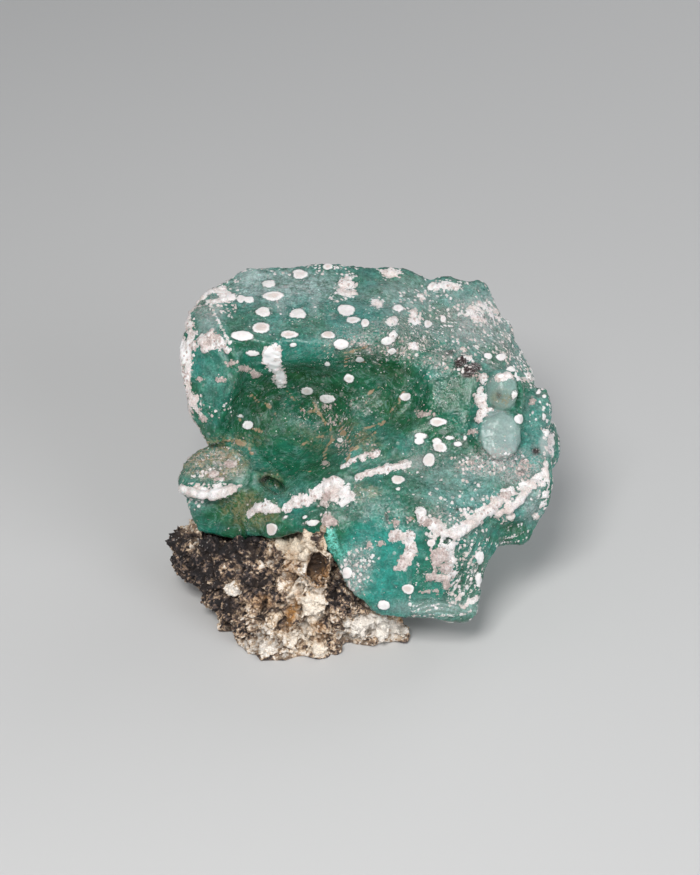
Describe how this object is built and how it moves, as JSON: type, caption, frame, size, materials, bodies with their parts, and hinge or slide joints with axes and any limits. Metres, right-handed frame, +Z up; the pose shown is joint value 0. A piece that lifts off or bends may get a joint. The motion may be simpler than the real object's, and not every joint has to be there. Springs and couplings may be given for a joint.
{
  "type": "melanterite specimen",
  "caption": "Rough blue-green melanterite mass with a scooped hollow and white efflorescence, grown on a crumbly piece of host rock.",
  "frame": {"origin": "under the middle of the specimen's bounding box, on the ground plane", "axes": "+X to the right of the pictured side, -Y towards the pictured side, +Z up"},
  "size_m": [0.0668, 0.058, 0.047],
  "materials": {
    "melanterite": "satin",
    "host_rock": "matte"
  },
  "bodies": {
    "root": {"melanterite": "melanterite", "host_rock": "host_rock"}
  },
  "joints": []
}
